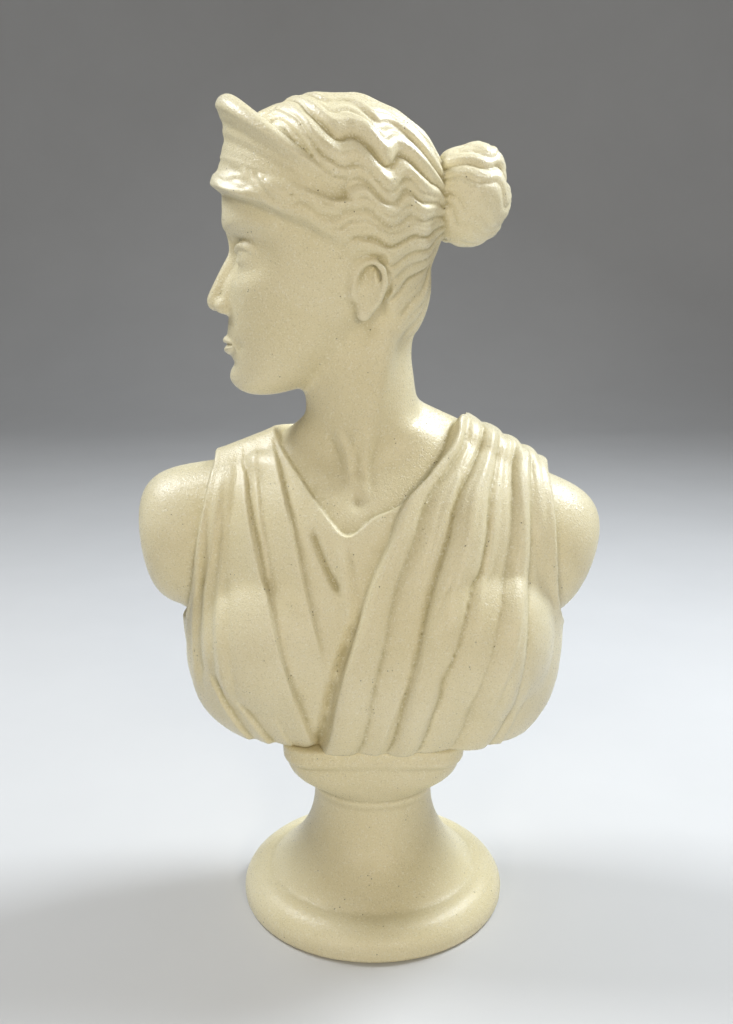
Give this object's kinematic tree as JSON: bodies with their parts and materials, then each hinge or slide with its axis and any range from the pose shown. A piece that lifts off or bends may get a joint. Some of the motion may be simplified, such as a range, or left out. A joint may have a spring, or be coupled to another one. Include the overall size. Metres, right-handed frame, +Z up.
{
  "type": "portrait bust",
  "caption": "Draped female bust with a crescent diadem and a chignon, head turned to one side, on a turned socle; stands on its flat round foot.",
  "frame": {"origin": "centre of the socle's round underside, where it rests", "axes": "+Z up; the chest faces -Y; +X is the figure's left; the head is turned towards -X"},
  "size_m": [0.1701, 0.102, 0.3006],
  "materials": {
    "bust_paint": "satin ivory paint with a fine speckle, over a fired clay cast",
    "socle_paint": "satin ivory paint with a fine speckle, over a fired clay cast"
  },
  "bodies": {
    "root": {"bust": "bust_paint", "socle": "socle_paint"}
  },
  "joints": []
}
